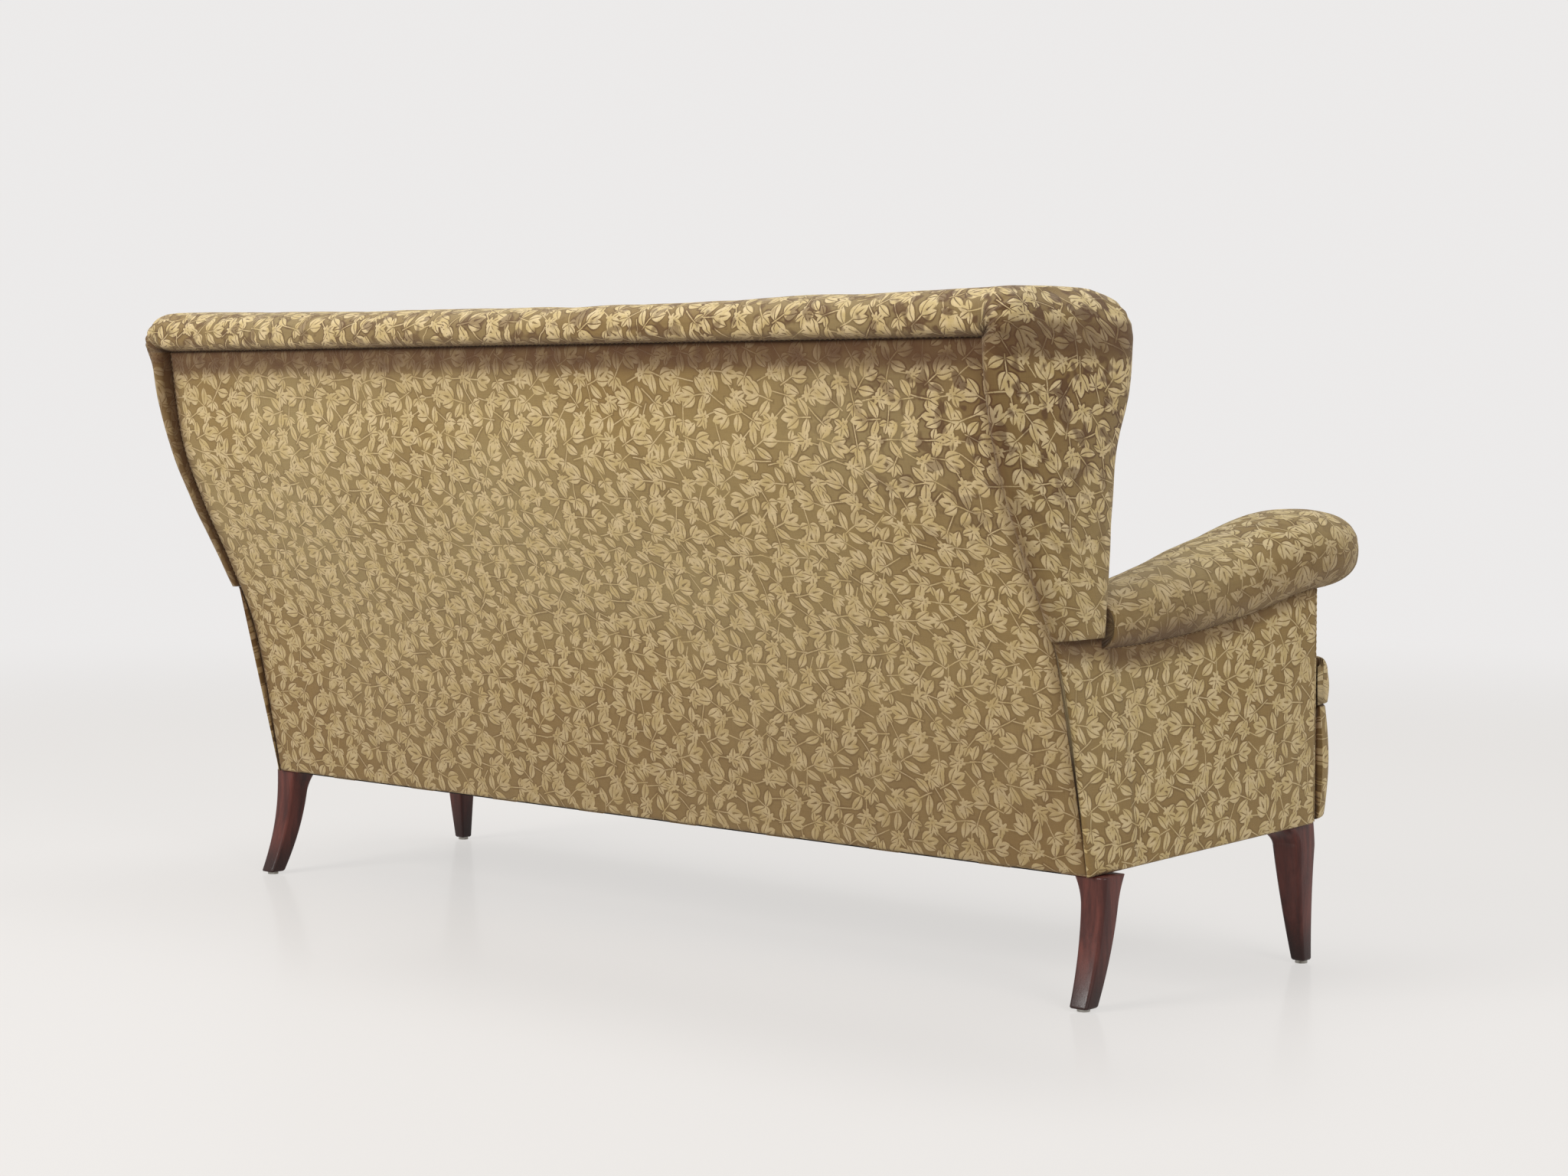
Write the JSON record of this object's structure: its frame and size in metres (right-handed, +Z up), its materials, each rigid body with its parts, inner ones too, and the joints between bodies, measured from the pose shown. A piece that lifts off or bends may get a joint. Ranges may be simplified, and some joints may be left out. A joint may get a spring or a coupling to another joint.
{
  "type": "sofa",
  "caption": "Tight-upholstered sofa seen from behind: raked padded back with a roll wrapping its top and ends, flared rolled arms and splayed dark wooden legs",
  "frame": {"origin": "on the floor, under the middle of the overall box", "axes": "+X along the sofa towards the sitter's left, +Y towards the back, +Z up; the sitter faces -Y"},
  "size_m": [1.832, 0.742, 0.904],
  "materials": {
    "cover_fabric": "woven furnishing cloth, pale leafy sprigs on an olive-gold ground",
    "leg_wood": "dark red-brown stain, satin lacquer",
    "frame_wood": "planed beech, unfinished",
    "hessian": "coarse plain weave",
    "webbing": "woven jute strap",
    "dust_cloth": "thin black cambric",
    "steel": "plain drawn wire, bolts and pressed glides"
  },
  "bodies": {
    "root": {"arm_front_facing_left": "cover_fabric", "arm_front_facing_right": "cover_fabric", "arm_post_left": "frame_wood", "arm_post_right": "frame_wood", "arm_rail_left": "frame_wood", "arm_rail_right": "frame_wood", "arm_roll_left": "cover_fabric", "arm_roll_right": "cover_fabric", "arm_tacking_rail_left": "frame_wood", "arm_tacking_rail_right": "frame_wood", "back_end_border_left": "cover_fabric", "back_end_border_right": "cover_fabric", "back_post_left": "frame_wood", "back_post_right": "frame_wood", "back_stile_left": "frame_wood", "back_stile_right": "frame_wood", "back_tacking_rail": "frame_wood", "back_top_rail": "frame_wood", "back_top_roll": "cover_fabric", "back_webbing": "webbing", "dust_cover": "dust_cloth", "front_corner_block_left": "frame_wood", "front_corner_block_right": "frame_wood", "front_edge_roll": "hessian", "front_glide_left": "steel", "front_glide_right": "steel", "front_leg_bolt_left": "steel", "front_leg_bolt_right": "steel", "front_leg_left": "leg_wood", "front_leg_right": "leg_wood", "front_seat_rail": "frame_wood", "inside_arm_pad_left": "cover_fabric", "inside_arm_pad_right": "cover_fabric", "inside_back_pad": "cover_fabric", "outside_arm_panel_left": "cover_fabric", "outside_arm_panel_right": "cover_fabric", "outside_back_panel": "cover_fabric", "rear_corner_block_left": "frame_wood", "rear_corner_block_right": "frame_wood", "rear_glide_left": "steel", "rear_glide_right": "steel", "rear_leg_bolt_left": "steel", "rear_leg_bolt_right": "steel", "rear_leg_left": "leg_wood", "rear_leg_right": "leg_wood", "rear_seat_rail": "frame_wood", "seat_front_border": "cover_fabric", "seat_pad": "cover_fabric", "seat_spring_unit": "steel", "seat_stretcher": "frame_wood", "seat_webbing": "webbing", "side_seat_rail_left": "frame_wood", "side_seat_rail_right": "frame_wood", "spring_hessian": "hessian"}
  },
  "joints": []
}
